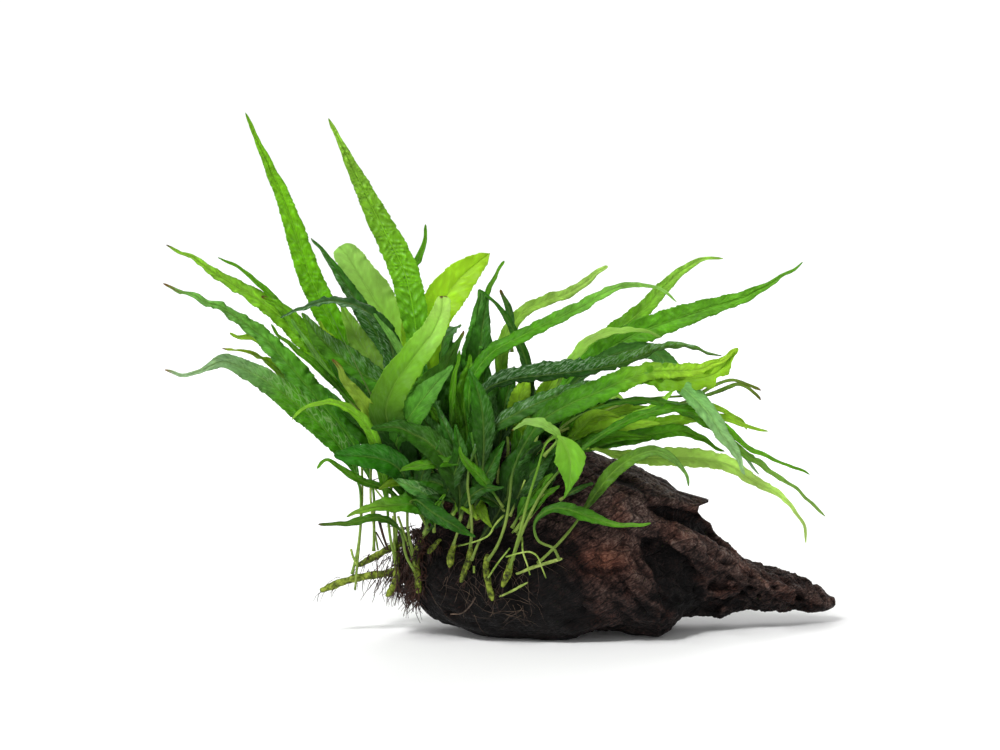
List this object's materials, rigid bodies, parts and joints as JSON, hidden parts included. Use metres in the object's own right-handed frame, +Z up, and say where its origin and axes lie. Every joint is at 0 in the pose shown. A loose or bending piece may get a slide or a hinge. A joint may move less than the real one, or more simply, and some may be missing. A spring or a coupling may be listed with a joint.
{
  "type": "java fern on driftwood",
  "caption": "Narrow-leaved java fern rooted on a tapering lump of dark driftwood, its fronds arching to both sides, as an aquarium plant that stands on the substrate",
  "frame": {"origin": "on the plane the wood stands on, under the plant's crown, on the wood's flat foot", "axes": "+X along the wood towards its tapered tail, +Y away from the viewer, +Z up"},
  "size_m": [0.3431, 0.1733, 0.261],
  "materials": {
    "driftwood": "wet-dark, grained and pitted",
    "rhizome": "olive, knobbly, slightly waxy",
    "stalk_pale": "pale green, smooth",
    "roots": "reddish brown, dull",
    "leaf_dark": "dark green, waxy, bumpy between the veins",
    "leaf_mid": "mid green, waxy, bumpy between the veins",
    "leaf_bright": "bright green, waxy",
    "leaf_young": "yellow-green, thin, smooth",
    "leaf_sheen": "green with a grey gloss"
  },
  "bodies": {
    "root": {"driftwood": "driftwood", "hair_roots": "roots", "rhizome_low_left": "rhizome", "rhizome_high_left": "rhizome", "rhizome_bright_end": "rhizome", "rhizome_forked": "rhizome", "rhizome_fork_branch": "rhizome", "rhizome_stub_left": "rhizome", "rhizome_hooked": "rhizome", "rhizome_front_long": "rhizome", "rhizome_front_right": "rhizome", "cut_stalk_front": "stalk_pale", "cut_stalk_right": "stalk_pale", "rhizome_crown_left": "rhizome", "rhizome_crown_right": "rhizome", "rhizome_back": "rhizome", "leaf_tall_left": "leaf_mid", "leaf_tall_right": "leaf_mid", "leaf_hooked_left": "leaf_bright", "leaf_crinkled_left": "leaf_dark", "leaf_broad_left": "leaf_mid", "leaf_arched": "leaf_sheen", "leaf_broad_low_left": "leaf_sheen", "leaf_dark_upright_left": "leaf_dark", "leaf_blunt_pale": "leaf_bright", "leaf_yellow_top": "leaf_young", "leaf_front_bright": "leaf_young", "leaf_brown_tip": "leaf_mid", "leaf_curled_small": "leaf_young", "leaf_strap_front_left": "leaf_bright", "leaf_oval_front": "leaf_mid", "leaf_dark_arch_front": "leaf_dark", "leaf_low_yellow_tip": "leaf_mid", "leaf_knob_tip": "leaf_mid", "leaf_dark_centre": "leaf_dark", "leaf_upright_curled": "leaf_dark", "leaf_strap_centre": "leaf_dark", "leaf_arching_right_high": "leaf_mid", "leaf_blunt_right": "leaf_bright", "leaf_hooked_right": "leaf_bright", "leaf_long_right": "leaf_mid", "leaf_pale_arch": "leaf_bright", "leaf_folded_dark_right": "leaf_sheen", "leaf_dark_sweep_right": "leaf_sheen", "leaf_torn_bright_right": "leaf_young", "leaf_drooping_grey": "leaf_sheen", "leaf_wavy_right": "leaf_mid", "leaf_long_drooping_right": "leaf_mid", "leaf_light_low_right": "leaf_young", "leaf_long_stalk_right": "leaf_mid", "leaf_arching_right_low": "leaf_bright", "leaf_folded_bright": "leaf_young", "leaf_olive_broad": "leaf_bright", "leaf_bright_middle": "leaf_bright", "leaf_dark_middle": "leaf_dark", "leaf_back_left": "leaf_mid", "leaf_back_tall": "leaf_dark", "leaf_back_middle": "leaf_mid", "leaf_back_right": "leaf_bright", "leaf_back_low": "leaf_dark"}
  },
  "joints": []
}
